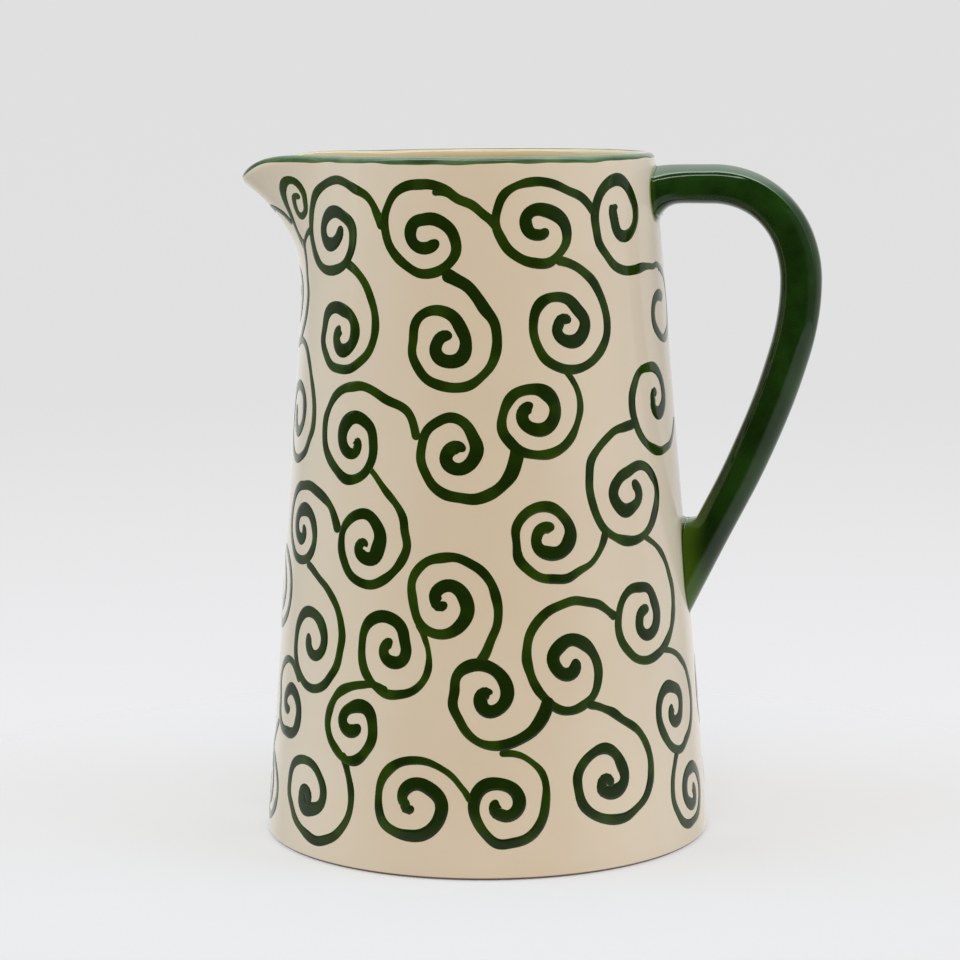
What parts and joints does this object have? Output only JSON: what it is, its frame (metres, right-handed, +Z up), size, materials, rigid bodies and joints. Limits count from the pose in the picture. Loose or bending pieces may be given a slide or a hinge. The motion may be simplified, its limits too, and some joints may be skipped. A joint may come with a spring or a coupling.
{
  "type": "pouring jug",
  "caption": "Tapered glazed earthenware jug with a flared pouring lip, an arched green handle and painted scrolls, for serving and pouring drinks at the table.",
  "frame": {"origin": "centre of the foot ring, on the plane that the jug stands on", "axes": "+Z up along the wall's axis, +X towards the handle, -X towards the pouring lip"},
  "size_m": [0.187, 0.1448, 0.22],
  "materials": {
    "cream_glaze": "glossy clear glaze over a cream body",
    "green_glaze": "glossy dark green, brushed on under the glaze",
    "bare_clay": "fired clay, wiped free of glaze"
  },
  "bodies": {
    "root": {"wall": "cream_glaze", "floor_disc": "cream_glaze", "corner_coil": "cream_glaze", "pouring_lip": "cream_glaze", "handle": "green_glaze", "upper_slip_joint": "green_glaze", "lower_slip_joint": "green_glaze"}
  },
  "joints": []
}
